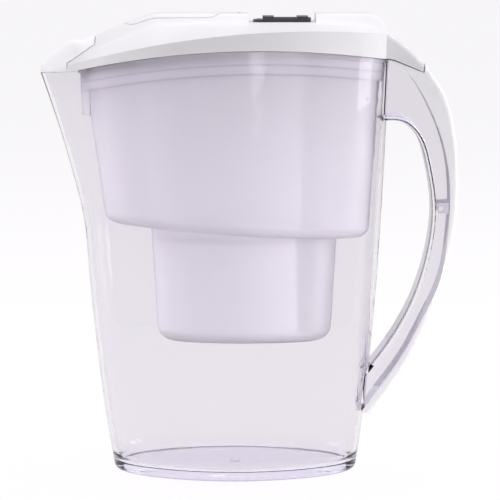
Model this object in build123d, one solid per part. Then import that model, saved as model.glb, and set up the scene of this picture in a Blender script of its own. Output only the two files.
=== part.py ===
from build123d import *
import math
import os

os.makedirs("parts", exist_ok=True)

# Jug: oval plan, widest at the rim
base_half_length = 68.4
base_half_width = 44.0
base_end_radius = 33.0
base_centre_x = -0.5
rim_half_length = 88.0
rim_half_width = 53.0
rim_end_radius = 38.0
rim_centre_x = -1.9
rim_height = 236.0
swell_linear = 2.02
swell_square = -1.60
swell_cube = 0.58
jug_wall = 2.5
floor_thickness = 3.0
base_edge_radius = 3.0
floor_edge_radius = 7.0
foot_height = 1.4
foot_width = 4.5
gate_radius = 3.0
gate_height = 0.8
jug_station_shares = (0.0, 0.106, 0.233, 0.381, 0.53, 0.614, 0.699, 0.784, 0.869, 0.953, 1.06)

# Spout: a beak that grows out of the front end above mid height
spout_start_height = 136.0
spout_tip_height = 225.0
spout_reach = 20.0
spout_growth = 1.35
spout_half_width = 28.0
spout_edge_slope = 0.07
front_count = 16

# Rim: arched in side view, level over the spout
rim_rise = 2.8
rim_peak_height = rim_height + rim_rise
rim_peak_x = 12.0
rim_arch_radius = 407.0
rim_front_x = -89.5
ledge_width = 1.2
ledge_depth = 2.2

# Handle: clear channel on the jug, snapped-in outer cover
handle_half_width = 13.0
handle_wall = 2.4
handle_side_wall = 2.2
handle_edge_radius = 2.6
handle_root_x = 68.0
grip_points = ((68.0, 197.4), (80.0, 197.6), (92.5, 197.4), (99.8, 191.5), (106.4, 174.0), (109.8, 150.0),
               (107.4, 126.0), (100.6, 102.3), (90.0, 80.6), (79.0, 64.7), (70.0, 53.5))
seam_points = ((84.0, 232.2), (96.6, 223.4), (106.8, 207.4), (115.4, 186.3), (119.6, 160.0),
               (118.6, 134.0), (113.6, 106.0), (105.2, 88.0), (94.0, 66.5), (80.0, 46.5), (71.0, 34.0))
cover_points = ((105.4, 229.6), (116.0, 214.0), (121.7, 195.8), (124.3, 164.0), (123.0, 139.0),
                (117.4, 114.0), (108.9, 88.6), (96.8, 62.4), (84.0, 43.2), (75.4, 31.8))
cover_shoulder = (104.9, 224.9)
cover_top_start = (88.0, 231.6)
cover_high_point = (94.8, 245.2)
cover_low_point = (68.5, 22.3)
clip_height = 149.0
clip_x = 114.6
clip_radius = 1.5
clip_thickness = 1.6
clip_length = 9.7
clip_clearance = 0.1
cover_edge_radius = 2.6

# Funnel: collar under the rim, tapering hopper, sloping floor
funnel_gap = 0.4
funnel_wall = 1.8
collar_depth = 12.5
guard_bottom_height = 201.5
guard_rear_x = -80.0
hopper_floor_half_length = 73.6
hopper_floor_half_width = 42.0
hopper_floor_end_radius = 29.0
hopper_floor_centre_x = 1.3
hopper_floor_height = 137.0
hopper_floor_slope = 0.0625
hopper_edge_radius = 6.0

# Well for the cartridge, under the hopper floor
well_top_half_length = 52.1
well_top_half_width = 28.0
well_top_end_radius = 22.0
well_bottom_half_length = 48.4
well_bottom_half_width = 25.2
well_bottom_end_radius = 20.0
well_centre_x = 4.7
well_bottom_height = 73.8
well_edge_radius = 8.0
tower_radius = 7.6
tower_wall = 1.5
tower_height = 21.0
tower_window_width = 3.0
tower_window_height = 7.0
tower_foot_reach = 1.5
tower_foot_height = 4.5
tower_foot_width = 2.0

# Cartridge, a tapered cup with a slotted cap
cartridge_gap = 0.8
cartridge_wall = 1.3
cartridge_floor = 1.5
cartridge_edge_radius = 6.5
cartridge_height = 54.0
recess_clearance = 2.0
recess_wall = 1.3
recess_headroom = 2.0
recess_slot_width = 1.6
recess_slot_pitch = 3.4
recess_slot_count = 5
cap_flange_thickness = 2.2
cap_step = 2.5
cap_height = 11.2
cap_taper = 2.5
cap_edge_radius = 3.0
cap_wall = 1.4
cap_slot_width = 2.0
cap_slot_length = 22.0
cap_slot_pitch = 6.0
cap_slot_count = 4
cap_slot_start = 15.0
ring_radius = 11.0
ring_thickness = 2.8
ring_width = 5.0
seal_thickness = 1.6
seal_gap = 0.3
mesh_thickness = 0.5
part_clearance = 0.2

# Lid: skirt on the rim, crowned top with a raised spine
lid_gap = 0.3
lid_wall = 2.4
skirt_peak_height = rim_peak_height + 10.6
skirt_peak_x = 36.7
skirt_arch_radius = 427.0
ridge_height = rim_peak_height + 18.8
ridge_front_x = -43.0
ridge_front_slope = 0.42
ridge_front_bend = 6.0
ridge_rear_x = 73.0
ridge_rear_radius = 13.0
ridge_rear_reach = 12.0
ridge_rear_slope = 1.9
hood_crest_x = -88.0
hood_crest_height = rim_peak_height + 4.2
hood_slope = 1.1
hood_bend = 9.0
spine_height = 4.2
spine_flat = 10.5
spine_fall = 8.0
saddle_height = ridge_height - 4.7
saddle_front_x = 7.2
saddle_rear_x = 44.4
crown_bend = 10.0
crown_low = 150.0
crown_least_half_width = 6.0
crown_least_slope = 0.02
crown_margin = 5.0
crown_outer_shares = (0.15, 0.4, 0.7, 1.0)
crown_parameters = (0.0, 0.09, 0.18, 0.25, 0.32, 0.42, 0.58, 0.78, 1.0)
crown_stations = (-113.0, -108.0, -103.0, -98.0, -93.0, -88.5, -84.0, -79.0, -74.0, -69.0, -64.0, -59.0,
                  -54.0, -49.0, -44.0, -39.0, -33.0, -25.0, -12.0, 5.0, 25.0, 45.0, 60.0, 67.0, 72.0, 76.0,
                  79.5, 83.0, 86.5, 91.0)
rib_depth = 6.0
rib_wall = 1.6
rib_clearance = 0.5
tail_half_width = 13.4
tail_wall = 2.2
tail_gap = 0.6
tail_start_x = 83.0
tail_top_height = rim_peak_height + 9.2
tail_middle = (95.0, rim_peak_height + 1.0)
tail_end = (104.7, rim_peak_height - 8.2)
tail_edge_radius = 3.0

# Spout flap: hood over the spout, parted from the lid by a slanting cut
hood_tip_setback = 1.0
hood_gap = 0.4
hood_wall = 2.0
hood_front_x = -93.5
hood_cut_height = rim_peak_height - 8.2
hood_cut_slope = 0.69
hood_pivot_x = -72.0
hood_pivot_height = rim_peak_height + 5.2
hood_shoulder_setback = 6.0
hood_barrel_radius = 3.4
hood_barrel_half_length = 4.0
hood_pin_radius = 1.0
hood_pin_length = 2.8
deck_thickness = 2.0
pin_clearance = 0.06
pin_end_clearance = 0.3
ear_wall = 1.4

# Refill flap in the spine, on a barrel hinge
flap_front_x = -62.0
flap_shoulder_x = -8.0
flap_half_width = 14.0
flap_corner_radius = 8.0
flap_thickness = 2.0
flap_gap = 0.4
flap_pivot_x = 1.0
flap_pivot_height = ridge_height - 2.6
flap_barrel_half_length = 6.0
flap_barrel_gap = 0.5
flap_pin_radius = 1.1
flap_pin_length = 2.6
shelf_gap = 0.3
shelf_thickness = 1.8
shelf_width = 2.5
shelf_margin = 1.4
trough_wall = 1.4
notch_depth = 1.5
notch_reach = 3.0
notch_half_width = 6.0

# Filter change indicator, a sealed module in a pocket of the spine
module_front_x = 9.7
module_length = 32.2
module_width = 19.0
module_corner_radius = 4.0
module_top_height = ridge_height - 2.5
module_height = 9.2
module_gap = 0.25
pocket_wall = 1.4
bezel_wall = 1.2
bezel_top_thickness = 1.4
end_block_starts = (5.3, 24.4)
end_block_length = 6.2
end_block_height = 0.9
button_step_length = 5.3
button_step_depth = 1.0
window_offset = 11.7
window_length = 12.5
window_width = 9.0
lens_thickness = 1.1
display_length = 14.5
display_width = 11.5
display_thickness = 1.6
board_length = 28.6
board_width = 15.6
board_thickness = 0.8
board_corner_radius = 2.6
board_ledge = 1.4
connector_width = 1.6
connector_length = 12.0
connector_spread = 4.4
chip_radius = 3.0
chip_height = 0.9
chip_offset = 8.0
battery_radius = 6.2
battery_thickness = 1.6
battery_offset = 19.4
contact_thickness = 0.2
contact_width = 4.0
contact_length = 15.0
tray_floor = 1.0
tray_height = 3.4
gasket_thickness = 0.8
button_offset = 2.0
button_length = 2.6
button_width = 9.0
button_stem = 3.0
button_stem_height = 0.7
button_gap = 0.15
button_proud = 0.5
button_flange = 0.5
button_flange_thickness = 0.8
dome_radius = 1.8
dome_height = 0.6

rear_limit_x = 130.0
front_limit_x = -130.0
far_half_width = 80.0
top_limit_height = 300.0


def bell(share):
    """Raised cosine: 1 in the middle, level at 0 from a share of 1 outwards."""
    if abs(share) >= 1:
        return 0.0
    return (1 + math.cos(math.pi * share)) / 2


def between(low, high, share):
    return low + (high - low) * share


def jug_sizes(height):
    """Half length, half width, end radius and centre of the jug's oval at a height."""
    part = height / rim_height
    share = swell_linear * part + swell_square * part**2 + swell_cube * part**3
    return (between(base_half_length, rim_half_length, share),
            between(base_half_width, rim_half_width, share),
            between(base_end_radius, rim_end_radius, share),
            between(base_centre_x, rim_centre_x, share))


def spout_reach_at(height):
    part = (height - spout_start_height) / (spout_tip_height - spout_start_height)
    return spout_reach * max(0.0, part)**spout_growth


def hopper_sizes(height):
    """Sizes of the hopper's outer oval: the collar's inside at the rim, its own at the floor."""
    top = jug_sizes(rim_height)
    inset = jug_wall + funnel_gap + funnel_wall
    share = (height - hopper_floor_height) / (rim_height - hopper_floor_height)
    return (between(hopper_floor_half_length, top[0] - inset, share),
            between(hopper_floor_half_width, top[1] - inset, share),
            between(hopper_floor_end_radius, top[2] - inset, share),
            between(hopper_floor_centre_x, top[3], share))


def well_sizes(height):
    """Sizes of the well's outer oval at a height."""
    share = (height - well_bottom_height) / (hopper_floor_height - well_bottom_height)
    return (between(well_bottom_half_length, well_top_half_length, share),
            between(well_bottom_half_width, well_top_half_width, share),
            between(well_bottom_end_radius, well_top_end_radius, share),
            well_centre_x)


def corner_direction(sizes):
    """Unit direction from an end arc's centre to where the end arc meets the side arc."""
    run = sizes[0] - sizes[2]
    side_radius = (run**2 + sizes[1]**2 - sizes[2]**2) / (2 * (sizes[1] - sizes[2]))
    return run / (side_radius - sizes[2]), (side_radius - sizes[1]) / (side_radius - sizes[2])


def front_x(sizes, reach, y):
    """Front end of the oval pushed out by the spout's bell."""
    end_depth = math.sqrt(sizes[2]**2 - y**2)
    return sizes[3] - (sizes[0] - sizes[2]) - end_depth - reach * bell(y / spout_half_width)


def front_edge(sizes, height, inset, reach):
    """Spline across the front end, moved inwards square to itself by the inset."""
    along, across = corner_direction(sizes)
    edge = sizes[2] * across
    corner_x = sizes[3] - (sizes[0] - sizes[2]) - (sizes[2] - inset) * along
    corner_y = (sizes[2] - inset) * across
    step = 0.01
    points = [(corner_x, -corner_y, height)]
    for index in range(1, front_count):
        y = edge * (2 * index / front_count - 1)
        slope = (front_x(sizes, reach, y + step) - front_x(sizes, reach, y - step)) / (2 * step)
        length = math.hypot(1, slope)
        points.append((front_x(sizes, reach, y) + inset / length, y - inset * slope / length, height))
    points.append((corner_x, corner_y, height))
    return Spline(*points, tangents=((-across / along, 1, 0), (across / along, 1, 0)))


def oval_face(sizes, height, inset=0.0, reach=None):
    """Oval of four arcs in plan; with a reach, the front arc becomes the spout's curve."""
    along, across = corner_direction(sizes)
    radius = sizes[2] - inset
    run = sizes[0] - sizes[2]
    side = sizes[1] - inset
    corner_x = run + radius * along
    corner_y = radius * across
    centre = sizes[3]
    front_left = (centre - corner_x, corner_y, height)
    front_right = (centre - corner_x, -corner_y, height)
    rear_left = (centre + corner_x, corner_y, height)
    rear_right = (centre + corner_x, -corner_y, height)
    if reach is None:
        front = ThreePointArc(front_right, (centre - run - radius, 0, height), front_left)
    else:
        front = front_edge(sizes, height, inset, reach)
    edges = [
        front,
        ThreePointArc(front_left, (centre, side, height), rear_left),
        ThreePointArc(rear_left, (centre + run + radius, 0, height), rear_right),
        ThreePointArc(rear_right, (centre, -side, height), front_right),
    ]
    return Face(Wire(edges))


def oval_column(sizes_at, low, high, inset=0.0):
    """Tapering oval column between two heights."""
    sections = [oval_face(sizes_at(height), height, inset) for height in (low, high)]
    return Solid.make_loft([section.outer_wire() for section in sections], ruled=True)


def jug_column(low, inset):
    """The jug's outer or inner form, beak and all, from a low height to above the rim."""
    heights = [rim_height * share for share in jug_station_shares]
    heights = [low] + [height for height in heights if height > low + 5]
    wires = []
    for height in heights:
        face = oval_face(jug_sizes(height), height, inset, spout_reach_at(height))
        wires.append(face.outer_wire())
    return Solid.make_loft(wires)


def side_point(point):
    return (point[0], 0, point[1])


def side_line(*points):
    """Straight runs through points of the side view."""
    corners = [side_point(point) for point in points]
    return [Line(corners[index], corners[index + 1]) for index in range(len(corners) - 1)]


def side_spline(points):
    return Spline(*[side_point(point) for point in points])


def side_prism(edges, half_width):
    """A closed outline of the side view, carried to both sides."""
    face = Pos(0, -half_width, 0) * Face(Wire(edges))
    return extrude(face, amount=2 * half_width, dir=(0, 1, 0))


def block(x_low, x_high, y_low, y_high, z_low, z_high):
    size = (x_high - x_low, y_high - y_low, z_high - z_low)
    centre = ((x_low + x_high) / 2, (y_low + y_high) / 2, (z_low + z_high) / 2)
    return Pos(*centre) * Box(*size)


def cross_cylinder(x, height, radius, y_low, y_high):
    """Cylinder along the width."""
    return Pos(x, (y_low + y_high) / 2, height) * Rot(90, 0, 0) * Cylinder(radius, y_high - y_low)


def arch(x, peak_height, peak_x, radius):
    return peak_height - radius + math.sqrt(radius**2 - (x - peak_x)**2)


def rim_at(x):
    """Height of the rim: an arch, with a nearly level run over the spout."""
    if x < rim_front_x:
        return rim_at(rim_front_x) - spout_edge_slope * (rim_front_x - x)
    return arch(x, rim_peak_height, rim_peak_x, rim_arch_radius)


def above_rim(shift):
    """Everything above the rim line, moved up by a shift."""
    front = (front_limit_x, rim_at(front_limit_x) + shift)
    bend = (rim_front_x, rim_at(rim_front_x) + shift)
    peak = (rim_peak_x, rim_at(rim_peak_x) + shift)
    rear = (rear_limit_x, rim_at(rear_limit_x) + shift)
    edges = side_line(front, bend)
    edges.append(ThreePointArc(side_point(bend), side_point(peak), side_point(rear)))
    edges += side_line(rear, (rear_limit_x, top_limit_height), (front_limit_x, top_limit_height), front)
    return side_prism(edges, far_half_width)


def shifted_curve(points, distance):
    """Points moved square to their run, to the left of travel."""
    moved = []
    for index, point in enumerate(points):
        before = points[max(index - 1, 0)]
        after = points[min(index + 1, len(points) - 1)]
        run_x = after[0] - before[0]
        run_z = after[1] - before[1]
        length = math.hypot(run_x, run_z)
        moved.append((point[0] - distance * run_z / length, point[1] + distance * run_x / length))
    return moved


def handle_side_edges(inner_curve, outer_curve):
    """Closed side view between an inner and an outer curve of the handle, rooted in the wall."""
    edges = [side_spline(inner_curve)]
    edges += side_line(inner_curve[-1], outer_curve[-1])
    edges.append(side_spline(outer_curve))
    edges += side_line(outer_curve[0], (inner_curve[0][0], outer_curve[0][1]), inner_curve[0])
    return edges


def long_side_edges(solid, inner):
    """The two long curved edges on the sides of a handle piece, inner pair or outer pair."""
    curved = [edge for edge in solid.edges()
              if edge.geom_type == GeomType.BSPLINE and abs(edge.center().Y) > handle_half_width - 0.1]
    curved.sort(key=lambda edge: edge.center().X)
    return curved[:2] if inner else curved[-2:]


def clip_holes(radius):
    reach = handle_half_width + 1.0
    return cross_cylinder(clip_x, clip_height, radius, -reach, reach)


def handle_channel(jug_form):
    """Clear inner half of the handle: a channel open towards its cover."""
    channel = side_prism(handle_side_edges(grip_points, seam_points), handle_half_width)
    channel = fillet(long_side_edges(channel, True), handle_edge_radius)
    hollow = side_prism(handle_side_edges(shifted_curve(grip_points, handle_wall),
                                          shifted_curve(seam_points, handle_wall)),
                        handle_half_width - handle_side_wall)
    return channel - (hollow - jug_form) - clip_holes(clip_radius + clip_clearance)


def make_jug_body(jug_form):
    """Clear jug with its beak, foot ring, rim ledge and the inner half of the handle."""
    inside = jug_column(foot_height + floor_thickness, jug_wall)
    inside = inside.fillet(floor_edge_radius, inside.faces().sort_by(Axis.Z)[0].edges())
    foot_recess = extrude(oval_face(jug_sizes(0), 0, foot_width), amount=foot_height, dir=(0, 0, 1))
    gate = Pos(jug_sizes(0)[3], 0, foot_height - gate_height / 2) * Cylinder(gate_radius, gate_height)
    low = rim_height - 3 * collar_depth
    ledge = oval_column(jug_sizes, low, rim_height + collar_depth, jug_wall - ledge_width)
    body = jug_form + handle_channel(jug_form)
    body = body - inside - above_rim(0) - foot_recess
    body = body - (ledge & above_rim(-ledge_depth))
    return body + gate


def make_handle_cover(jug_form):
    """White outer half of the handle, a shallow shell with two clip arms."""
    longer = (cover_high_point,) + cover_points + (cover_low_point,)
    edges = [side_spline(longer)]
    edges += side_line(longer[-1], (handle_root_x, longer[-1][1]), (handle_root_x, longer[0][1]), longer[0])
    rounded = side_prism(edges, handle_half_width)
    rounded = fillet(long_side_edges(rounded, False), cover_edge_radius)
    seam = shifted_curve(seam_points, clip_clearance)
    edges = [side_spline(cover_points)]
    edges += side_line(cover_points[-1], seam[-1])
    edges.append(side_spline(seam))
    edges += side_line(seam[0], cover_top_start, cover_shoulder, cover_points[0])
    cover = rounded & side_prism(edges, handle_half_width)
    inner = shifted_curve(cover_points, -handle_wall)[1:-1]
    top = cover_shoulder[1] - handle_wall
    corner = (inner[0][0] + inner[0][1] - top, top)
    edges = side_line((handle_root_x, top), corner, inner[0])
    edges.append(side_spline(inner))
    edges += side_line(inner[-1], (handle_root_x, inner[-1][1]), (handle_root_x, top))
    hollow = side_prism(edges, handle_half_width - handle_side_wall)
    cover = cover - hollow - jug_form
    arm_outside = handle_half_width - handle_side_wall - clip_clearance
    for side in (-1, 1):
        arm_ends = sorted((side * arm_outside, side * (arm_outside - clip_thickness)))
        arm = block(clip_x - clip_radius, clip_x - clip_radius + clip_length, *arm_ends,
                    clip_height - 2 * clip_radius, clip_height + 2 * clip_radius)
        lug_reach = handle_half_width - 2 * clip_clearance
        lug_ends = sorted((side * (arm_outside - clip_thickness), side * lug_reach))
        cover = cover + arm + cross_cylinder(clip_x, clip_height, clip_radius, *lug_ends)
    return cover


def hopper_floor_at(x):
    return hopper_floor_height - hopper_floor_slope * x


def above_floor(shift):
    """Everything above the hopper's sloping floor, moved up by a shift."""
    front = (front_limit_x, hopper_floor_at(front_limit_x) + shift)
    rear = (rear_limit_x, hopper_floor_at(rear_limit_x) + shift)
    edges = side_line(front, rear, (rear_limit_x, top_limit_height),
                      (front_limit_x, top_limit_height), front)
    return side_prism(edges, far_half_width)


def lowest_face_edges(solid):
    return solid.faces().sort_by(Axis.Z)[0].edges()


def make_funnel():
    """Frosted funnel: flange and collar, hopper, sloping floor, well and outlet tower."""
    low = hopper_floor_at(rear_limit_x) - hopper_edge_radius
    high = rim_height + collar_depth
    collar_low = guard_bottom_height - funnel_wall
    flange = oval_column(jug_sizes, collar_low, high, jug_wall - ledge_width + lid_gap)
    flange = flange & above_rim(lid_gap - ledge_depth)
    collar = oval_column(jug_sizes, collar_low, high, jug_wall + funnel_gap)
    guard = collar & block(front_limit_x, guard_rear_x, -far_half_width, far_half_width,
                           guard_bottom_height, rim_height)
    collar = collar & above_rim(-collar_depth)
    hopper = (oval_column(hopper_sizes, low, high) & above_floor(0)) - above_rim(-funnel_wall)
    hopper = fillet(lowest_face_edges(hopper), hopper_edge_radius)
    well = oval_column(well_sizes, well_bottom_height, hopper_floor_height + hopper_edge_radius)
    well = well.fillet(well_edge_radius, lowest_face_edges(well))
    collar_room = oval_column(jug_sizes, collar_low, high, jug_wall + funnel_gap + funnel_wall)
    collar_room = collar_room & above_rim(funnel_wall - collar_depth)
    hopper_room = oval_column(hopper_sizes, low, high, funnel_wall) & above_floor(funnel_wall)
    hopper_room = fillet(lowest_face_edges(hopper_room), hopper_edge_radius - funnel_wall)
    well_floor = well_bottom_height + funnel_wall
    well_room = oval_column(well_sizes, well_floor, hopper_floor_height + 2 * hopper_edge_radius, funnel_wall)
    well_room = well_room.fillet(well_edge_radius - funnel_wall, lowest_face_edges(well_room))
    funnel = (hopper + collar + flange + guard + well) - above_rim(0)
    funnel = funnel - collar_room - hopper_room - well_room
    return funnel + make_tower() - tower_bore()


def tower_bore():
    depth = tower_height + funnel_wall - tower_wall
    return Pos(well_centre_x, 0, well_bottom_height + depth / 2) * Cylinder(tower_radius - tower_wall, depth)


def make_tower():
    """Outlet tower in the well, with windows under its closed top and small feet round it."""
    base = well_bottom_height + funnel_wall
    tower = Pos(well_centre_x, 0, base + tower_height / 2) * Cylinder(tower_radius, tower_height)
    window_top = base + tower_height - tower_wall
    reach = tower_radius + tower_wall
    half = tower_window_width / 2
    for turn in (0, 90):
        window = block(-reach, reach, -half, half, window_top - tower_window_height, window_top)
        tower = tower - Pos(well_centre_x, 0, 0) * Rot(0, 0, turn) * window
    outer = tower_radius + tower_foot_reach
    foot_edges = side_line((-outer, base), (outer, base), (tower_radius - tower_wall, base + tower_foot_height),
                           (tower_wall - tower_radius, base + tower_foot_height), (-outer, base))
    foot = side_prism(foot_edges, tower_foot_width / 2)
    for turn in (45, 135):
        tower = tower + Pos(well_centre_x, 0, 0) * Rot(0, 0, turn) * foot
    return tower


cartridge_seat = well_bottom_height + funnel_wall
cartridge_top = cartridge_seat + cartridge_height
cartridge_inset = funnel_wall + cartridge_gap
recess_radius = tower_radius + recess_clearance
recess_top = cartridge_seat + tower_height + recess_headroom


def upright_cylinder(radius, low, high):
    return Pos(well_centre_x, 0, (low + high) / 2) * Cylinder(radius, high - low)


def make_cartridge_shell():
    """Tapered cup with a recess over the tower and slots in the recess's top."""
    cup = oval_column(well_sizes, cartridge_seat, cartridge_top, cartridge_inset)
    cup = cup.fillet(cartridge_edge_radius, lowest_face_edges(cup))
    room = oval_column(well_sizes, cartridge_seat + cartridge_floor, cartridge_top + 1,
                       cartridge_inset + cartridge_wall)
    room = room.fillet(cartridge_edge_radius - cartridge_wall, lowest_face_edges(room))
    cup = cup - room
    cup = cup + upright_cylinder(recess_radius + recess_wall, cartridge_seat, recess_top + recess_wall)
    cup = cup - upright_cylinder(recess_radius, cartridge_seat - 1, recess_top)
    for index in range(recess_slot_count):
        offset = (index - (recess_slot_count - 1) / 2) * recess_slot_pitch
        reach = math.sqrt(recess_radius**2 - offset**2) - recess_wall
        x = well_centre_x + offset
        cup = cup - block(x - recess_slot_width / 2, x + recess_slot_width / 2, -reach, reach,
                          recess_top - 1, recess_top + recess_wall + 1)
    return cup


def make_cartridge_cap():
    """Cap with a flange, a drawn-in dome with slots, and a pull ring."""
    flange_top = cartridge_top + cap_flange_thickness
    flange = extrude(oval_face(well_sizes(cartridge_top), cartridge_top, cartridge_inset),
                     amount=cap_flange_thickness, dir=(0, 0, 1))
    dome_inset = cartridge_inset + cap_step
    top = cartridge_top + cap_height
    sizes = well_sizes(cartridge_top)
    wires = [oval_face(sizes, cartridge_top, dome_inset).outer_wire(),
             oval_face(sizes, top, dome_inset + cap_taper).outer_wire()]
    dome = Solid.make_loft(wires, ruled=True)
    dome = dome.fillet(cap_edge_radius, dome.faces().sort_by(Axis.Z)[-1].edges())
    wires = [oval_face(sizes, cartridge_top - 1, dome_inset + cap_wall).outer_wire(),
             oval_face(sizes, top - cap_wall, dome_inset + cap_wall + cap_taper).outer_wire()]
    room = Solid.make_loft(wires, ruled=True)
    cap = flange + dome - room
    for index in range(cap_slot_count):
        for side in (-1, 1):
            x = well_centre_x + side * (cap_slot_start + index * cap_slot_pitch)
            cap = cap - block(x - cap_slot_width / 2, x + cap_slot_width / 2, -cap_slot_length / 2,
                              cap_slot_length / 2, flange_top, top + 1)
    ring = Cylinder(ring_radius, ring_width) - Cylinder(ring_radius - ring_thickness, ring_width)
    ring = Pos(well_centre_x, 0, top) * Rot(90, 0, 0) * ring
    upper = block(well_centre_x - ring_radius, well_centre_x + ring_radius, -ring_width, ring_width,
                  top - cap_wall, top + ring_radius)
    return cap + (ring & upper)


def oval_plate(height, inset, thickness):
    face = oval_face(well_sizes(height), height, inset)
    return extrude(face, amount=thickness, dir=(0, 0, 1))


def make_cartridge_seal():
    """Soft ring on the cap's step, its lip just clear of the well."""
    height = cartridge_top + cap_flange_thickness
    ring = oval_plate(height, funnel_wall + seal_gap, seal_thickness)
    return ring - oval_plate(height, cartridge_inset + cap_step, seal_thickness)


def make_inlet_mesh():
    inset = cartridge_inset + cap_step + cap_wall + 2 * part_clearance
    return oval_plate(cartridge_top, inset, mesh_thickness)


def make_outlet_mesh():
    low = recess_top + recess_wall
    return upright_cylinder(recess_radius, low, low + mesh_thickness)


def make_filter_media():
    """Bed of grains that fills the cup round the recess."""
    inset = cartridge_inset + cartridge_wall + part_clearance
    bed = oval_column(well_sizes, cartridge_seat + cartridge_floor + part_clearance,
                      cartridge_top - part_clearance, inset)
    bed = bed.fillet(cartridge_edge_radius - cartridge_wall, lowest_face_edges(bed))
    core = recess_radius + recess_wall + part_clearance
    core_top = recess_top + recess_wall + mesh_thickness + part_clearance
    return bed - upright_cylinder(core, cartridge_seat, core_top)


def lid_sizes():
    return jug_sizes(rim_height)


def outline_half_width(x):
    """Half the lid's width at a place along its length."""
    sizes = lid_sizes()
    along, across = corner_direction(sizes)
    run = sizes[0] - sizes[2]
    side_radius = (run**2 + sizes[1]**2 - sizes[2]**2) / (2 * (sizes[1] - sizes[2]))
    offset = x - sizes[3]
    corner = run + sizes[2] * along
    if abs(offset) <= corner:
        return math.sqrt(side_radius**2 - offset**2) - (side_radius - sizes[1])
    if offset > 0:
        return math.sqrt(max(0.0, sizes[2]**2 - (offset - run)**2))
    low = 0.0
    high = sizes[2] * across
    for _ in range(40):
        middle = (low + high) / 2
        if front_x(sizes, spout_reach - hood_tip_setback, middle) < x:
            low = middle
        else:
            high = middle
    return low


def softened(distance, bend):
    """Distance from a crest with its start rounded: level at 0, then straight."""
    return math.hypot(distance, bend) - bend


def ridge_at(x):
    """Height of the lid's ridge: level, falling to the hood's crest and its tip, round at the rear."""
    if x > ridge_rear_x:
        reach = min(x - ridge_rear_x, ridge_rear_reach)
        drop = ridge_rear_radius - math.sqrt(ridge_rear_radius**2 - reach**2)
        return ridge_height - drop - ridge_rear_slope * (x - ridge_rear_x - reach)
    if x > ridge_front_x:
        return ridge_height
    slope_line = ridge_height - ridge_front_slope * softened(ridge_front_x - x, ridge_front_bend)
    if x > hood_crest_x:
        return max(slope_line, hood_crest_height)
    return hood_crest_height - hood_slope * softened(hood_crest_x - x, hood_bend)


def crown_height(x, y):
    """Height of the lid's top: a crown from skirt to ridge, with a flat spine raised on it."""
    half_width = max(outline_half_width(x), crown_least_half_width)
    flat = min(spine_flat, half_width / 2)
    fall = min(spine_fall, half_width / 2)
    edge = arch(x, skirt_peak_height, skirt_peak_x, skirt_arch_radius)
    foot = ridge_at(x) - spine_height
    slope = max((foot - edge) / softened(half_width - flat, crown_bend), crown_least_slope)
    beyond = max(abs(y) - flat, 0)
    return foot - slope * softened(beyond, crown_bend) + spine_height * bell(beyond / fall)


def crown_offsets(x):
    """Places across the lid where its top is given, closer together on the spine."""
    half_width = max(outline_half_width(x), crown_least_half_width)
    flat = min(spine_flat, half_width / 2)
    foot = flat + min(spine_fall, half_width / 2)
    outer = [between(foot, half_width + crown_margin, share) for share in crown_outer_shares]
    return [0, flat / 2, flat, (flat + foot) / 2, foot] + outer


def crown_form(drop):
    """Solid under the lid's top surface, lowered by a drop, with a saddle for the indicator."""
    wires = []
    parameters = [-value for value in reversed(crown_parameters[1:])] + list(crown_parameters)
    for x in crown_stations:
        half = crown_offsets(x)
        offsets = [-offset for offset in reversed(half[1:])] + half
        points = [(x, y, crown_height(x, y) - drop) for y in offsets]
        low_left = (x, offsets[0], crown_low)
        low_right = (x, offsets[-1], crown_low)
        top = Edge.make_spline(points, parameters=parameters)
        edges = [top, Line(points[-1], low_right), Line(low_right, low_left), Line(low_left, points[0])]
        wires.append(Wire(edges))
    saddle = block(saddle_front_x - drop, saddle_rear_x + drop, -far_half_width, far_half_width,
                   saddle_height - drop, top_limit_height)
    return Solid.make_loft(wires) - saddle


def lid_column(inset):
    """The lid's outline with its beak, carried up through the whole lid."""
    face = oval_face(lid_sizes(), crown_low, inset, spout_reach - hood_tip_setback)
    return extrude(face, amount=top_limit_height - crown_low, dir=(0, 0, 1))


def hood_cut_at(x):
    return hood_cut_height + hood_cut_slope * (x - hood_front_x)


def hood_barrel(extra):
    half = hood_barrel_half_length + extra
    return cross_cylinder(hood_pivot_x, hood_pivot_height, hood_barrel_radius + extra, -half, half)


def hood_zone(gap):
    """Space of the spout flap, opened up all round by a gap."""
    start = hood_front_x + gap
    shoulder = hood_pivot_x - hood_shoulder_setback + gap
    cut_shift = gap * math.hypot(1, hood_cut_slope)
    edges = side_line((front_limit_x, crown_low), (start, crown_low), (start, hood_cut_at(start) - cut_shift),
                      (shoulder, hood_cut_at(shoulder) - cut_shift), (shoulder, top_limit_height),
                      (front_limit_x, top_limit_height), (front_limit_x, crown_low))
    tongue_edges = side_line((shoulder, hood_cut_at(shoulder) - cut_shift),
                             (hood_pivot_x, hood_cut_at(hood_pivot_x) - cut_shift),
                             (hood_pivot_x, top_limit_height), (shoulder, top_limit_height),
                             (shoulder, hood_cut_at(shoulder) - cut_shift))
    tongue = side_prism(tongue_edges, hood_barrel_half_length + gap)
    return side_prism(edges, far_half_width) + tongue + hood_barrel(gap)


def hood_pins(radius, end_clearance):
    reach = hood_barrel_half_length + hood_pin_length + end_clearance
    return cross_cylinder(hood_pivot_x, hood_pivot_height, radius, -reach, reach)


def make_spout_flap(crown, crown_room):
    """Hood over the spout: a thin shell with a tongue, a barrel and two pins."""
    hood = lid_column(0) & crown & hood_zone(0)
    room = (lid_column(hood_wall) & crown_room) - hood_barrel(hood_wall / 2)
    room = room & block(front_limit_x, hood_pivot_x, -far_half_width, far_half_width, crown_low, top_limit_height)
    return ((hood - room) & above_rim(lid_gap)) + hood_pins(hood_pin_radius, 0)


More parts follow.
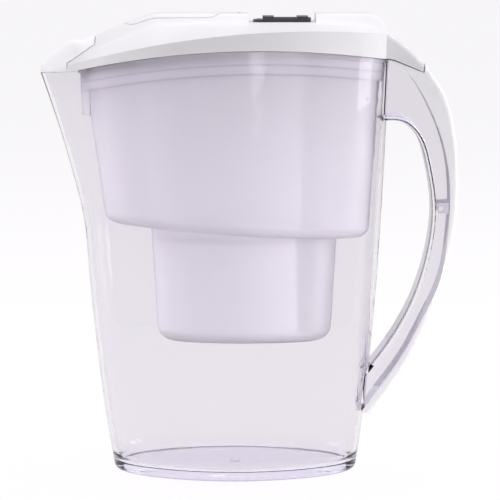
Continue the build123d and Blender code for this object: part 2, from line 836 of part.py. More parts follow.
def flap_panel(gap):
    """Column over the refill flap's rounded outline, opened up by a gap."""
    half_width = flap_half_width + gap
    panel = block(flap_front_x - gap, flap_shoulder_x + gap, -half_width, half_width, crown_low, top_limit_height)
    return fillet(panel.edges().filter_by(Axis.Z), flap_corner_radius + gap)


def flap_zone(gap):
    """Column over the refill flap with its tongue, opened up by a gap."""
    half = flap_barrel_half_length + gap
    start = flap_shoulder_x - flap_corner_radius
    return flap_panel(gap) + block(start, flap_pivot_x, -half, half, crown_low, top_limit_height)


def flap_barrel(extra):
    half = flap_barrel_half_length + extra
    radius = ridge_height - flap_pivot_height + extra
    return cross_cylinder(flap_pivot_x, flap_pivot_height, radius, -half, half)


def flap_pins(radius, end_clearance):
    reach = flap_barrel_half_length + flap_pin_length + end_clearance
    return cross_cylinder(flap_pivot_x, flap_pivot_height, radius, -reach, reach)


def make_refill_flap(crown, crown_under):
    """Panel that follows the spine, with a barrel hinge at its rear."""
    panel = (crown & flap_zone(0)) - crown_under
    barrel = flap_barrel(0) & crown
    return panel + barrel + flap_pins(flap_pin_radius, 0)


def module_block(gap, low, high):
    half = module_width / 2 + gap
    shape = block(module_front_x - gap, module_front_x + module_length + gap, -half, half, low, high)
    return fillet(shape.edges().filter_by(Axis.Z), module_corner_radius + gap)


def make_tail():
    """Hollow wedge at the lid's rear that lies over the top of the handle."""
    rear = lid_sizes()[0] + lid_sizes()[3]
    start = (tail_start_x, tail_top_height)
    low_start = (tail_start_x, rim_at(tail_start_x) + 2 * lid_gap)
    low_bend = (cover_top_start[0], rim_at(cover_top_start[0]) + 2 * lid_gap)
    low_end = (cover_shoulder[0] - tail_gap, cover_shoulder[1] + tail_gap)
    edges = [ThreePointArc(side_point(start), side_point(tail_middle), side_point(tail_end))]
    edges += side_line(tail_end, low_end, low_bend, low_start, start)
    tail = side_prism(edges, tail_half_width)
    room = Pos(-0.6 * tail_wall, 0, -0.9 * tail_wall) * side_prism(edges, tail_half_width - tail_wall)
    room = room & block(rear, rear_limit_x, -far_half_width, far_half_width, crown_low, top_limit_height)
    curved = [edge for edge in tail.edges() if edge.geom_type == GeomType.CIRCLE]
    return fillet(curved, tail_edge_radius) - room


def ear_pair(x, height, start, length, radius, crown):
    """Bosses on both sides of a barrel that hold its pins, up into the lid's top."""
    ears = []
    for side in (-1, 1):
        ends = sorted((side * start, side * (start + length)))
        ears.append(block(x - radius - ear_wall, x + radius + ear_wall, *ends,
                          height - radius - ear_wall, top_limit_height))
    return (ears[0] + ears[1]) & crown


def locating_rib(crown_under):
    """Ring under the lid that drops inside the funnel's collar."""
    inset = jug_wall + funnel_gap + funnel_wall + rib_clearance
    low = rim_height - 3 * collar_depth
    high = ridge_height + lid_wall
    ring = oval_column(jug_sizes, low, high, inset) - oval_column(jug_sizes, low, high, inset + rib_wall)
    return ring & crown_under & above_rim(-rib_depth)


def port_shelf(crown_seat):
    """Shelf round the refill port, on which the flap's edge comes to rest."""
    shelf = flap_zone(flap_gap + shelf_margin) & crown_seat
    under = Pos(0, 0, -shelf_thickness) * crown_seat
    return shelf - under - flap_panel(-shelf_width)


def finger_notch():
    notch = Pos(flap_front_x + notch_half_width - notch_reach, 0, (crown_low + top_limit_height) / 2)
    notch = notch * Cylinder(notch_half_width, top_limit_height - crown_low)
    return notch - crown_form(notch_depth)


def make_lid_shell(crown, crown_room, crown_under):
    """Lid: skirt, crown, rib in the collar, deck under the hood, refill port, pocket and tail."""
    crown_seat = crown_form(flap_thickness + shelf_gap)
    room = (lid_column(lid_wall) & crown_room) - hood_zone(hood_gap + deck_thickness)
    lid = ((lid_column(0) & crown) - room) & above_rim(lid_gap)
    lid = lid - flap_panel(-shelf_width)
    lid = lid + locating_rib(crown_under) + port_shelf(crown_seat)
    pocket_floor = module_top_height - module_height
    pocket = module_block(module_gap + pocket_wall, pocket_floor - pocket_wall, top_limit_height)
    lid = lid + (pocket & crown_under)
    lid = lid + (flap_barrel(flap_barrel_gap + trough_wall) & crown_under)
    lid = lid + ear_pair(hood_pivot_x, hood_pivot_height, hood_barrel_half_length + hood_gap,
                         hood_pin_length + ear_wall, hood_pin_radius, crown_under)
    lid = lid + ear_pair(flap_pivot_x, flap_pivot_height, flap_barrel_half_length + flap_barrel_gap,
                         flap_pin_length + ear_wall, flap_pin_radius, crown_under)
    lid = lid + make_tail()
    lid = lid - hood_zone(hood_gap) - hood_pins(hood_pin_radius + pin_clearance, pin_end_clearance)
    lid = lid - (flap_zone(flap_gap) - crown_seat) - flap_barrel(flap_barrel_gap)
    lid = lid - flap_pins(flap_pin_radius + pin_clearance, pin_end_clearance)
    lid = lid - module_block(module_gap, pocket_floor, top_limit_height)
    return lid - finger_notch()


module_bottom = module_top_height - module_height
tray_top = module_bottom + tray_height
board_bottom = tray_top - part_clearance
board_top = board_bottom + board_thickness
plate_bottom = module_top_height - bezel_top_thickness
display_top = plate_bottom - part_clearance / 2
button_plate_top = module_top_height - button_step_depth
button_plate_bottom = button_plate_top - bezel_top_thickness
display_bottom = display_top - display_thickness
window_middle = module_front_x + window_offset + window_length / 2
button_middle = module_front_x + button_offset + button_length / 2
battery_middle = module_front_x + battery_offset


def centred_block(x, length, width, low, high):
    return block(x - length / 2, x + length / 2, -width / 2, width / 2, low, high)


def make_indicator_back():
    """Back tray with a ledge for the board."""
    tray = module_block(0, module_bottom, tray_top)
    tray = tray - module_block(-bezel_wall, board_bottom, tray_top)
    return tray - module_block(-bezel_wall - board_ledge, module_bottom + tray_floor, board_bottom)


def make_indicator_seal():
    top = tray_top + gasket_thickness
    return module_block(0, tray_top, top) - module_block(-bezel_wall, tray_top, top)


def make_indicator_bezel():
    """Frame with two raised blocks, the display window and a lower step with the button's opening."""
    bottom = tray_top + gasket_thickness
    raised = module_top_height + end_block_height
    frame = module_block(0, bottom, module_top_height)
    for start in end_block_starts:
        middle = module_front_x + start + end_block_length / 2
        raised_block = centred_block(middle, end_block_length, module_width, plate_bottom, raised)
        frame = frame + (raised_block & module_block(0, plate_bottom, raised))
    step_end = module_front_x + button_step_length
    front = block(front_limit_x, step_end, -far_half_width, far_half_width, button_plate_top, raised)
    inside = module_block(-bezel_wall, bottom, plate_bottom)
    inside = inside - block(front_limit_x, step_end + bezel_wall, -far_half_width, far_half_width,
                            button_plate_bottom, plate_bottom)
    frame = frame - front - inside
    frame = frame - centred_block(window_middle, window_length, window_width, plate_bottom, raised)
    return frame - centred_block(button_middle, button_length + 2 * button_gap,
                                 button_width + 2 * button_gap, button_plate_bottom, raised)


def make_indicator_lens():
    return centred_block(window_middle, window_length, window_width, display_top, display_top + lens_thickness)


def make_indicator_display():
    return centred_block(window_middle, display_length, display_width, display_bottom, display_top)


def make_indicator_board():
    middle = module_front_x + module_length / 2
    board = centred_block(middle, board_length, board_width, board_bottom, board_top)
    return fillet(board.edges().filter_by(Axis.Z), board_corner_radius)


def make_indicator_chip():
    """Round blob under the board over the chip."""
    x = module_front_x + chip_offset
    blob = Pos(x, 0, board_bottom - chip_height / 2) * Cylinder(chip_radius, chip_height)
    return fillet(lowest_face_edges(blob), chip_height / 2)


def make_display_connector(side):
    y = side * connector_spread
    strip = centred_block(window_middle, connector_length, connector_width, board_top, display_bottom)
    return Pos(0, y, 0) * strip


def make_button_dome():
    dome = Pos(button_middle, 0, board_top + dome_height / 2) * Cylinder(dome_radius, dome_height)
    return fillet(dome.faces().sort_by(Axis.Z)[-1].edges(), dome_height / 2)


def make_indicator_battery():
    low = module_bottom + tray_floor + contact_thickness
    return Pos(battery_middle, 0, low + battery_thickness / 2) * Cylinder(battery_radius, battery_thickness)


def make_battery_contact():
    low = module_bottom + tray_floor
    return centred_block(battery_middle, contact_length, contact_width, low, low + contact_thickness)


def make_reset_button():
    """Button with a flange under the bezel's plate and a stem over the dome."""
    flange_low = button_plate_bottom - button_flange_thickness
    top = button_plate_top + button_proud
    button = centred_block(button_middle, button_length, button_width, flange_low, top)
    button = button + centred_block(button_middle, button_length + 2 * button_flange,
                                    button_width + 2 * button_flange, flange_low, button_plate_bottom)
    return button + centred_block(button_middle, button_stem, button_stem,
                                  flange_low - button_stem_height, flange_low)


def write_part(name, shape):
    export_step(shape, os.path.join("parts", name + ".step"))


jug_form = jug_column(0, 0)
jug_form = jug_form.fillet(base_edge_radius, lowest_face_edges(jug_form))
lid_crown = crown_form(0)
lid_crown_room = crown_form(lid_wall)
lid_crown_under = crown_form(flap_thickness)

write_part("jug_body", make_jug_body(jug_form))
write_part("handle_cover", make_handle_cover(jug_form))
write_part("funnel", make_funnel())
write_part("cartridge_shell", make_cartridge_shell())
write_part("cartridge_cap", make_cartridge_cap())
write_part("cartridge_seal", make_cartridge_seal())
write_part("inlet_mesh", make_inlet_mesh())
write_part("outlet_mesh", make_outlet_mesh())
write_part("filter_media", make_filter_media())
write_part("lid_shell", make_lid_shell(lid_crown, lid_crown_room, lid_crown_under))
write_part("spout_flap", make_spout_flap(lid_crown, lid_crown_room))
write_part("refill_flap", make_refill_flap(lid_crown, lid_crown_under))
write_part("indicator_back", make_indicator_back())
write_part("indicator_seal", make_indicator_seal())
write_part("indicator_bezel", make_indicator_bezel())
write_part("indicator_lens", make_indicator_lens())
write_part("indicator_display", make_indicator_display())
write_part("indicator_board", make_indicator_board())
write_part("indicator_chip", make_indicator_chip())
write_part("display_connector_left", make_display_connector(1))
write_part("display_connector_right", make_display_connector(-1))
write_part("button_dome", make_button_dome())
write_part("indicator_battery", make_indicator_battery())
write_part("battery_contact", make_battery_contact())
write_part("reset_button", make_reset_button())
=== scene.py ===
import math

import bpy
import numpy as np
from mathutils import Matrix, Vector


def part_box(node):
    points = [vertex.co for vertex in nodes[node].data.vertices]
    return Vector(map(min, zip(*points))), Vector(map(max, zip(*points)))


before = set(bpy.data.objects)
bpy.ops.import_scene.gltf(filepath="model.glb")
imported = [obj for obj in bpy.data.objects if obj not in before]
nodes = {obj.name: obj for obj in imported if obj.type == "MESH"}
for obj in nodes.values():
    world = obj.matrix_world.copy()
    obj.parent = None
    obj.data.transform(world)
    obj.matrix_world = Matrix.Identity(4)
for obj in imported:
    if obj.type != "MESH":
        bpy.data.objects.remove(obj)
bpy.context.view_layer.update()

# Marks and patterns: lengths in metres, shares of 1

mesh_pitch = 0.0004
layer_pitch = 0.0005
bar_count = 4
bar_pitch = 0.0028
bar_share = 0.62
bar_half_width = 0.003
foot_reach = 0.0045
rim_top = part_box("funnel")[1][2]
rim_peak_x = 0.012
rim_arch_radius = 0.407
# Depths under the rim of the collar's steps, then the width and strength of the line of painted shade along
# each
collar_steps = (0.0072, 0.0125)
step_shade_width = 0.0009
step_shade_strength = 0.9

# How strongly the plastics bend light: a little under their real 1.5, so that thin walls stay calm

clear_bend = 1.36
frosted_bend = 1.3

# Share of the light that passes on through the frosted wall to what it covers

frosted_pass = 0.95

# Where a wall's colour starts to change and where it is the turned one, from 0 square on to 1 edge on

clear_turn = (0.62, 0.87)
frosted_turn = (0.7, 0.9)

# Floor, surroundings and camera

floor_half_width = 8.0
floor_colour = (0.90, 0.89, 0.90)
floor_glow_colour = (1.0, 0.985, 1.0)
floor_glow_strength = 1.03
floor_glow_share = 0.85
surround_level = 0.39
surround_colour = (1.0, 0.99, 1.0)
mirrored_level = 0.6
mirrored_colour = (0.90, 0.86, 1.0)
camera_spot = (0.0080, -1.4383, 0.3143)
camera_pitch = 7.53
camera_lens = 184.9
camera_sensor = 36.0


# Groups that more than one finish uses

def add_socket(group, name, kind, way, value=None):
    made = group.interface.new_socket(name=name, in_out=way, socket_type=kind)
    if value is not None:
        made.default_value = value
    return made


def link(tree, source, target):
    tree.links.new(source, target)


def moulded_group():
    """Moulded surface: slow waves plus a fine grain, as a height and as a value from 0 to 1."""
    group = bpy.data.node_groups.new("moulded surface", "ShaderNodeTree")
    add_socket(group, "Place", "NodeSocketVector", "INPUT")
    add_socket(group, "Wave Size", "NodeSocketFloat", "INPUT", 40.0)
    add_socket(group, "Grain Size", "NodeSocketFloat", "INPUT", 900.0)
    add_socket(group, "Grain Share", "NodeSocketFloat", "INPUT", 0.3)
    add_socket(group, "Low", "NodeSocketFloat", "INPUT", 0.3)
    add_socket(group, "High", "NodeSocketFloat", "INPUT", 0.4)
    add_socket(group, "Height", "NodeSocketFloat", "OUTPUT")
    add_socket(group, "Value", "NodeSocketFloat", "OUTPUT")
    inward = group.nodes.new("NodeGroupInput")
    outward = group.nodes.new("NodeGroupOutput")
    wave = group.nodes.new("ShaderNodeTexNoise")
    grain = group.nodes.new("ShaderNodeTexNoise")
    wave.inputs["Detail"].default_value = 2.0
    grain.inputs["Detail"].default_value = 1.0
    link(group, inward.outputs["Place"], wave.inputs["Vector"])
    link(group, inward.outputs["Place"], grain.inputs["Vector"])
    link(group, inward.outputs["Wave Size"], wave.inputs["Scale"])
    link(group, inward.outputs["Grain Size"], grain.inputs["Scale"])
    height = group.nodes.new("ShaderNodeMix")
    link(group, inward.outputs["Grain Share"], height.inputs["Factor"])
    link(group, wave.outputs["Fac"], height.inputs["A"])
    link(group, grain.outputs["Fac"], height.inputs["B"])
    link(group, height.outputs["Result"], outward.inputs["Height"])
    value = group.nodes.new("ShaderNodeMapRange")
    value.inputs["From Min"].default_value = 0.3
    value.inputs["From Max"].default_value = 0.7
    link(group, wave.outputs["Fac"], value.inputs["Value"])
    link(group, inward.outputs["Low"], value.inputs["To Min"])
    link(group, inward.outputs["High"], value.inputs["To Max"])
    link(group, value.outputs["Result"], outward.inputs["Value"])
    return group


moulded = moulded_group()


def new_finish(name):
    """A new material with its node tree and its main shader."""
    material = bpy.data.materials.new(name)
    material.use_nodes = True
    shader = material.node_tree.nodes["Principled BSDF"]
    return material, material.node_tree, shader


def place(tree):
    """The place in the frame, because every node's object sits at the origin."""
    return tree.nodes.new("ShaderNodeTexCoord").outputs["Object"]


def coordinates(tree):
    """The place in the frame, as its X, Y and Z."""
    split = tree.nodes.new("ShaderNodeSeparateXYZ")
    link(tree, place(tree), split.inputs["Vector"])
    return split.outputs


def add_moulded(tree, shader, wave=40.0, grain=900.0, share=0.3, low=0.3, high=0.4, bump=0.1, depth=0.0002):
    """Roughness that varies slowly, and a bump of waves and grain."""
    node = tree.nodes.new("ShaderNodeGroup")
    node.node_tree = moulded
    link(tree, place(tree), node.inputs["Place"])
    for name, value in (("Wave Size", wave), ("Grain Size", grain), ("Grain Share", share),
                        ("Low", low), ("High", high)):
        node.inputs[name].default_value = value
    link(tree, node.outputs["Value"], shader.inputs["Roughness"])
    bumper = tree.nodes.new("ShaderNodeBump")
    bumper.inputs["Strength"].default_value = bump
    bumper.inputs["Distance"].default_value = depth
    link(tree, node.outputs["Height"], bumper.inputs["Height"])
    link(tree, bumper.outputs["Normal"], shader.inputs["Normal"])
    return node


def ramp(tree, value, *stops):
    """Colour ramp with stops of (place, colour)."""
    node = tree.nodes.new("ShaderNodeValToRGB")
    elements = node.color_ramp.elements
    while len(elements) > 1:
        elements.remove(elements[-1])
    elements[0].position, elements[0].color = stops[0][0], (*stops[0][1], 1)
    for position, colour in stops[1:]:
        elements.new(position).color = (*colour, 1)
    link(tree, value, node.inputs["Fac"])
    return node


def math_node(tree, operation, *values):
    """One step of arithmetic on numbers or sockets."""
    node = tree.nodes.new("ShaderNodeMath")
    node.operation = operation
    for index, value in enumerate(values):
        if isinstance(value, (int, float)):
            node.inputs[index].default_value = value
        else:
            link(tree, value, node.inputs[index])
    return node.outputs["Value"]


def edge_ramp(tree, turn, square_on, turned, edge):
    """Colour by how far a surface turns away from the view."""
    away = tree.nodes.new("ShaderNodeLayerWeight")
    away.inputs["Blend"].default_value = 0.5
    start, full = turn
    stops = (0.0, square_on), (start, square_on), (full, turned), (1.0, edge)
    return ramp(tree, away.outputs["Facing"], *stops).outputs["Color"]


def let_light_through(tree, shader, colour):
    """Shadow rays pass straight through in a colour."""
    path = tree.nodes.new("ShaderNodeLightPath")
    through = tree.nodes.new("ShaderNodeBsdfTransparent")
    through.inputs["Color"].default_value = (*colour, 1)
    mix = tree.nodes.new("ShaderNodeMixShader")
    link(tree, path.outputs["Is Shadow Ray"], mix.inputs["Fac"])
    link(tree, shader.outputs["BSDF"], mix.inputs[1])
    link(tree, through.outputs["BSDF"], mix.inputs[2])
    link(tree, mix.outputs["Shader"], tree.nodes["Material Output"].inputs["Surface"])


# Places of the colour sockets on a Mix node

plain_socket = 6
tint_socket = 7
mixed_socket = 2


def tinted(tree, colours, mask, tint):
    """Colours mixed with a tint by a mask."""
    node = tree.nodes.new("ShaderNodeMix")
    node.data_type = "RGBA"
    link(tree, mask, node.inputs["Factor"])
    link(tree, colours, node.inputs[plain_socket])
    node.inputs[tint_socket].default_value = (*tint, 1)
    return node.outputs[mixed_socket]


def fading(tree, value, reach, most):
    """Mask that falls evenly from its most at 0 to nothing at the reach."""
    node = tree.nodes.new("ShaderNodeMapRange")
    node.inputs["From Max"].default_value = reach
    node.inputs["To Min"].default_value = most
    node.inputs["To Max"].default_value = 0.0
    link(tree, value, node.inputs["Value"])
    return node.outputs["Result"]


def depth_under_rim(tree):
    """Depth under the arched rim: its top less the height and less the arc's drop at x."""
    spot = coordinates(tree)
    away = math_node(tree, "SUBTRACT", spot["X"], rim_peak_x)
    square = math_node(tree, "MULTIPLY", away, away)
    run = math_node(tree, "SQRT", math_node(tree, "SUBTRACT", rim_arch_radius**2, square))
    drop = math_node(tree, "SUBTRACT", rim_arch_radius, run)
    level = math_node(tree, "ADD", spot["Z"], drop)
    return math_node(tree, "SUBTRACT", rim_top, level)


def clear_finish(name, square_on, turned, edge, passed, foot=None):
    """Clear plastic: tinted where seen square on, deeper along its edges and in its thick foot."""
    material, tree, shader = new_finish(name)
    shader.inputs["Transmission Weight"].default_value = 1.0
    shader.inputs["IOR"].default_value = clear_bend
    colours = edge_ramp(tree, clear_turn, square_on, turned, edge)
    if foot:
        colours = tinted(tree, colours, fading(tree, coordinates(tree)["Z"], foot_reach, 1.0), foot)
    link(tree, colours, shader.inputs["Base Color"])
    add_moulded(tree, shader, wave=18.0, grain=260.0, share=0.15, low=0.0, high=0.04, bump=0.05)
    let_light_through(tree, shader, passed)
    return material


def frosted_finish(name, square_on, turned, edge, share, low, high):
    """Milky plastic: part of the light passes, blurred; edges are darker, and thin dark lines of painted
    shade mark the collar's steps.
    """
    material, tree, shader = new_finish(name)
    shader.inputs["Transmission Weight"].default_value = share
    shader.inputs["IOR"].default_value = frosted_bend
    colours = edge_ramp(tree, frosted_turn, square_on, turned, edge)
    depth = depth_under_rim(tree)
    # Painted shade: a thin dark line along each step of the collar
    for step in collar_steps:
        off = math_node(tree, "ABSOLUTE", math_node(tree, "SUBTRACT", depth, step))
        colours = tinted(tree, colours, fading(tree, off, step_shade_width, step_shade_strength), turned)
    link(tree, colours, shader.inputs["Base Color"])
    add_moulded(tree, shader, wave=30.0, grain=1400.0, share=0.5, low=low, high=high, bump=0.08)
    let_light_through(tree, shader, tuple(frosted_pass * part for part in square_on))
    return material


def solid_finish(name, colour, spread=0.02, **surface):
    """Moulded plastic or rubber with a slight unevenness of colour."""
    material, tree, shader = new_finish(name)
    node = add_moulded(tree, shader, **surface)
    light = tuple(min(1.0, part * (1 + spread)) for part in colour)
    dark = tuple(part * (1 - spread) for part in colour)
    colours = ramp(tree, node.outputs["Height"], (0.35, dark), (0.65, light))
    link(tree, colours.outputs["Color"], shader.inputs["Base Color"])
    return material


def steel_finish():
    """Rolled steel with fine streaks along its length."""
    material, tree, shader = new_finish("bright steel")
    shader.inputs["Metallic"].default_value = 1.0
    stretch = tree.nodes.new("ShaderNodeMapping")
    stretch.inputs["Scale"].default_value = (60.0, 2500.0, 60.0)
    link(tree, place(tree), stretch.inputs["Vector"])
    streaks = tree.nodes.new("ShaderNodeTexNoise")
    streaks.inputs["Scale"].default_value = 1.0
    link(tree, stretch.outputs["Vector"], streaks.inputs["Vector"])
    colours = ramp(tree, streaks.outputs["Fac"], (0.3, (0.58, 0.58, 0.60)), (0.7, (0.78, 0.78, 0.79)))
    link(tree, colours.outputs["Color"], shader.inputs["Base Color"])
    rough = tree.nodes.new("ShaderNodeMapRange")
    rough.inputs["To Min"].default_value = 0.2
    rough.inputs["To Max"].default_value = 0.4
    link(tree, streaks.outputs["Fac"], rough.inputs["Value"])
    link(tree, rough.outputs["Result"], shader.inputs["Roughness"])
    return material


def grain_finish():
    """Bed of round grains: dark carbon among amber resin beads."""
    material, tree, shader = new_finish("filter grains")
    cells = tree.nodes.new("ShaderNodeTexVoronoi")
    cells.inputs["Scale"].default_value = 900.0
    link(tree, place(tree), cells.inputs["Vector"])
    split = tree.nodes.new("ShaderNodeSeparateColor")
    link(tree, cells.outputs["Color"], split.inputs["Color"])
    colours = ramp(tree, split.outputs["Red"], (0.0, (0.02, 0.02, 0.02)), (0.35, (0.05, 0.045, 0.04)),
                   (0.4, (0.42, 0.26, 0.10)), (1.0, (0.62, 0.44, 0.22)))
    link(tree, colours.outputs["Color"], shader.inputs["Base Color"])
    rough = tree.nodes.new("ShaderNodeMapRange")
    rough.inputs["To Min"].default_value = 0.35
    rough.inputs["To Max"].default_value = 0.7
    link(tree, split.outputs["Green"], rough.inputs["Value"])
    link(tree, rough.outputs["Result"], shader.inputs["Roughness"])
    bumper = tree.nodes.new("ShaderNodeBump")
    bumper.invert = True
    bumper.inputs["Strength"].default_value = 0.9
    bumper.inputs["Distance"].default_value = 0.0005
    link(tree, cells.outputs["Distance"], bumper.inputs["Height"])
    link(tree, bumper.outputs["Normal"], shader.inputs["Normal"])
    return material


def stripes(tree, axis, pitch):
    """Rounded stripes along an axis, from 0 to 1."""
    angle = math_node(tree, "MULTIPLY", coordinates(tree)[axis], 2 * math.pi / pitch)
    wave = math_node(tree, "SINE", angle)
    return math_node(tree, "MULTIPLY_ADD", wave, 0.5, 0.5)


def woven_finish():
    """Fine woven mesh."""
    material, tree, shader = new_finish("woven mesh")
    across = stripes(tree, "X", mesh_pitch)
    along = stripes(tree, "Y", mesh_pitch)
    threads = math_node(tree, "MAXIMUM", across, along)
    colours = ramp(tree, threads, (0.3, (0.45, 0.45, 0.47)), (0.8, (0.86, 0.86, 0.88)))
    link(tree, colours.outputs["Color"], shader.inputs["Base Color"])
    shader.inputs["Roughness"].default_value = 0.6
    bumper = tree.nodes.new("ShaderNodeBump")
    bumper.inputs["Strength"].default_value = 0.6
    bumper.inputs["Distance"].default_value = 0.0001
    link(tree, threads, bumper.inputs["Height"])
    link(tree, bumper.outputs["Normal"], shader.inputs["Normal"])
    return material


def striped_rubber_finish():
    """Connector strip of thin conducting layers between clear ones."""
    material, tree, shader = new_finish("striped rubber")
    layers = stripes(tree, "X", layer_pitch)
    colours = ramp(tree, layers, (0.4, (0.05, 0.05, 0.05)), (0.6, (0.72, 0.52, 0.55)))
    link(tree, colours.outputs["Color"], shader.inputs["Base Color"])
    shader.inputs["Roughness"].default_value = 0.6
    return material


def box_middle(name):
    """Middle of a node's box in the frame."""
    corners = np.array([corner[:] for corner in nodes[name].bound_box])
    return (corners.min(axis=0) + corners.max(axis=0)) / 2


def display_finish():
    """Liquid crystal face with four plain bars that stand for the filter's remaining life."""
    material, tree, shader = new_finish("liquid crystal")
    middle = box_middle("indicator_display")
    spot = coordinates(tree)
    along = math_node(tree, "SUBTRACT", spot["X"], middle[0] - bar_count / 2 * bar_pitch)
    count = math_node(tree, "DIVIDE", along, bar_pitch)
    inside = math_node(tree, "LESS_THAN", math_node(tree, "FRACT", count), bar_share)
    low_end = math_node(tree, "GREATER_THAN", count, 0.0)
    high_end = math_node(tree, "LESS_THAN", count, bar_count)
    side = math_node(tree, "ABSOLUTE", spot["Y"])
    wide = math_node(tree, "LESS_THAN", side, bar_half_width)
    mask = math_node(tree, "MULTIPLY", math_node(tree, "MULTIPLY", inside, wide),
                     math_node(tree, "MULTIPLY", low_end, high_end))
    colours = ramp(tree, mask, (0.0, (0.30, 0.32, 0.30)), (1.0, (0.03, 0.035, 0.04)))
    link(tree, colours.outputs["Color"], shader.inputs["Base Color"])
    node = tree.nodes.new("ShaderNodeGroup")
    node.node_tree = moulded
    link(tree, place(tree), node.inputs["Place"])
    node.inputs["Low"].default_value = 0.12
    node.inputs["High"].default_value = 0.2
    link(tree, node.outputs["Value"], shader.inputs["Roughness"])
    return material


def board_finish():
    """Green lacquered board with thin copper tracks under the lacquer."""
    material, tree, shader = new_finish("lacquered board")
    tracks = tree.nodes.new("ShaderNodeTexBrick")
    tracks.inputs["Scale"].default_value = 160.0
    tracks.inputs["Mortar Size"].default_value = 0.06
    tracks.inputs["Color1"].default_value = (0.02, 0.13, 0.05, 1)
    tracks.inputs["Color2"].default_value = (0.02, 0.11, 0.04, 1)
    tracks.inputs["Mortar"].default_value = (0.05, 0.22, 0.08, 1)
    link(tree, place(tree), tracks.inputs["Vector"])
    link(tree, tracks.outputs["Color"], shader.inputs["Base Color"])
    add_moulded(tree, shader, wave=200.0, low=0.2, high=0.3, bump=0.03)
    return material


def dress(material, *names):
    """Give a finish to nodes."""
    for name in names:
        data = nodes[name].data
        data.materials.clear()
        data.materials.append(material)


dress(clear_finish("clear plastic", square_on=(0.890, 0.875, 0.900), turned=(0.78, 0.75, 0.83),
                   edge=(0.34, 0.29, 0.46), passed=(0.975, 0.97, 0.98), foot=(0.79, 0.755, 0.86)),
      "jug_body")
dress(clear_finish("clear lens", square_on=(0.93, 0.93, 0.95), turned=(0.85, 0.85, 0.88),
                   edge=(0.5, 0.5, 0.55), passed=(0.95, 0.95, 0.95)),
      "indicator_lens")
dress(frosted_finish("frosted plastic", square_on=(0.98, 0.965, 0.99), turned=(0.76, 0.72, 0.83),
                     edge=(0.20, 0.16, 0.31), share=0.6, low=0.3, high=0.42),
      "funnel")

# Plastics and rubbers that let no light through: finish, colour, surface and nodes

smooth = {"wave": 25.0, "low": 0.3, "high": 0.4, "bump": 0.05}
satin = {"wave": 60.0, "low": 0.35, "high": 0.45}
cup_surface = {"spread": 0.01, "wave": 30.0, "low": 0.4, "high": 0.5, "bump": 0.05}
solid_pieces = (
    ("cartridge plastic", (0.93, 0.925, 0.945), cup_surface, ("cartridge_shell",)),
    ("white cap plastic", (0.84, 0.83, 0.87), smooth, ("cartridge_cap",)),
    # The lid, spout hood and handle cover are one white plastic: the lid's colour is darkened as painted
    # shade, the hood's and handle cover's are lightened as painted light
    ("white lid plastic with painted shade", (0.82, 0.805, 0.835), smooth, ("lid_shell", "refill_flap")),
    ("white hood plastic with painted light", (0.94, 0.925, 0.955), smooth, ("spout_flap",)),
    ("white handle plastic with painted light", (0.95, 0.935, 0.97), {**smooth, "high": 0.38}, ("handle_cover",)),
    ("dark satin plastic", (0.055, 0.05, 0.06), satin, ("indicator_bezel",)),
    ("grey satin plastic", (0.42, 0.41, 0.43), satin, ("reset_button",)),
    ("tray plastic", (0.75, 0.75, 0.77), satin, ("indicator_back",)),
    ("seal rubber", (0.55, 0.55, 0.58), {**satin, "low": 0.5, "high": 0.65}, ("cartridge_seal",)),
    ("gasket rubber", (0.05, 0.05, 0.055), {**satin, "low": 0.6, "high": 0.75}, ("indicator_seal",)),
    ("cast resin", (0.012, 0.012, 0.014), {"wave": 300.0, "low": 0.15, "high": 0.3}, ("indicator_chip",)),
)
for finish_name, colour, surface, names in solid_pieces:
    dress(solid_finish(finish_name, colour, **surface), *names)

dress(steel_finish(), "button_dome", "indicator_battery", "battery_contact")
dress(grain_finish(), "filter_media")
dress(woven_finish(), "inlet_mesh", "outlet_mesh")
dress(striped_rubber_finish(), "display_connector_left", "display_connector_right")
dress(display_finish(), "indicator_display")
dress(board_finish(), "indicator_board")


# Floor, light and camera

def seen_through(tree):
    """1 where the view meets a thing straight or through clear plastic, 0 elsewhere."""
    path = tree.nodes.new("ShaderNodeLightPath").outputs
    return math_node(tree, "MAXIMUM", path["Is Camera Ray"], path["Is Transmission Ray"])


def make_floor():
    """Square plane far wider than the view, which looks white and keeps a soft shadow."""
    half = floor_half_width
    corners = np.array([[-half, -half, 0], [half, -half, 0], [half, half, 0], [-half, half, 0]])
    mesh = bpy.data.meshes.new("studio floor")
    mesh.from_pydata(corners.tolist(), [], [(0, 1, 2, 3)])
    floor = bpy.data.objects.new("studio_floor", mesh)
    bpy.context.collection.objects.link(floor)
    material, tree, shader = new_finish("pale floor")
    shader.inputs["Base Color"].default_value = (*floor_colour, 1)
    shader.inputs["Roughness"].default_value = 0.6
    glow = tree.nodes.new("ShaderNodeEmission")
    glow.inputs["Color"].default_value = (*floor_glow_colour, 1)
    glow.inputs["Strength"].default_value = floor_glow_strength
    share = math_node(tree, "MULTIPLY", seen_through(tree), floor_glow_share)
    mix = tree.nodes.new("ShaderNodeMixShader")
    link(tree, share, mix.inputs["Fac"])
    link(tree, shader.outputs["BSDF"], mix.inputs[1])
    link(tree, glow.outputs["Emission"], mix.inputs[2])
    link(tree, mix.outputs["Shader"], tree.nodes["Material Output"].inputs["Surface"])
    mesh.materials.append(material)


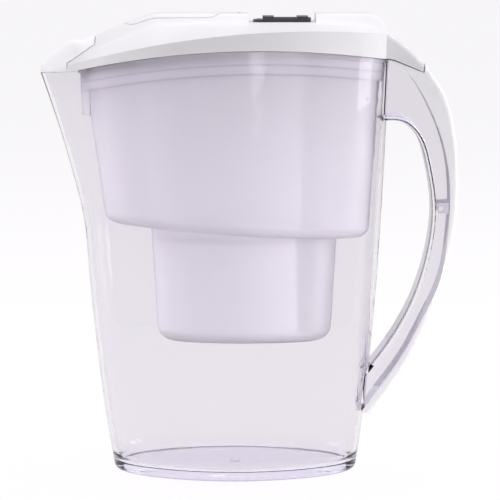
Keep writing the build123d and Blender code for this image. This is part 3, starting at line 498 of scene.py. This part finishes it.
def make_world():
    """White where seen, grey as light, and a pale violet where plastic mirrors it."""
    world = bpy.data.worlds.new("studio")
    world.use_nodes = True
    tree = world.node_tree
    back = tree.nodes["Background"]
    mirrored = tree.nodes.new("ShaderNodeLightPath").outputs["Is Glossy Ray"]
    level = tree.nodes.new("ShaderNodeMapRange")
    level.inputs["To Min"].default_value = surround_level
    level.inputs["To Max"].default_value = mirrored_level
    link(tree, mirrored, level.inputs["Value"])
    strength = math_node(tree, "MAXIMUM", seen_through(tree), level.outputs["Result"])
    link(tree, strength, back.inputs["Strength"])
    tint = ramp(tree, mirrored, (0.0, surround_colour), (1.0, mirrored_colour))
    link(tree, tint.outputs["Color"], back.inputs["Color"])
    bpy.context.scene.world = world


def add_panel(name, spot, target, size, power, spread=180, mirrored=True):
    """Soft square lamp that faces a target, within a spread in degrees."""
    lamp = bpy.data.lights.new(name, "AREA")
    lamp.size = size
    lamp.energy = power
    lamp.spread = math.radians(spread)
    holder = bpy.data.objects.new(name, lamp)
    holder.visible_glossy = mirrored
    bpy.context.collection.objects.link(holder)
    aim(holder, spot, target)


def aim(holder, spot, target):
    """Put a lamp at a spot and turn its face to a target."""
    holder.location = spot
    run = Vector(target) - Vector(spot)
    holder.rotation_euler = run.to_track_quat("-Z", "Y").to_euler()


def make_camera():
    """Camera before the pitcher's side, looking a little down."""
    data = bpy.data.cameras.new("camera")
    data.lens = camera_lens
    data.sensor_width = camera_sensor
    camera = bpy.data.objects.new("camera", data)
    bpy.context.collection.objects.link(camera)
    camera.location = camera_spot
    camera.rotation_euler = (math.radians(90 - camera_pitch), 0, 0)
    bpy.context.scene.camera = camera


make_floor()
make_world()
add_panel("top lamp", spot=(0.15, 0.2, 1.5), target=(0, 0, 0.2), size=1.6, power=15.0)
add_panel("right lamp", spot=(1.45, -0.15, 0.42), target=(0.05, 0, 0.13), size=0.8, power=10.0,
          mirrored=False)
add_panel("left lamp", spot=(-1.45, 0.05, 0.85), target=(0, 0, 0.2), size=0.9, power=10.0,
          mirrored=False)
add_panel("low lamp", spot=(0.35, -1.5, 0.06), target=(0.02, 0, 0.03), size=0.3, power=0.062,
          spread=17, mirrored=False)
make_camera()
bpy.context.scene.view_settings.view_transform = "Standard"
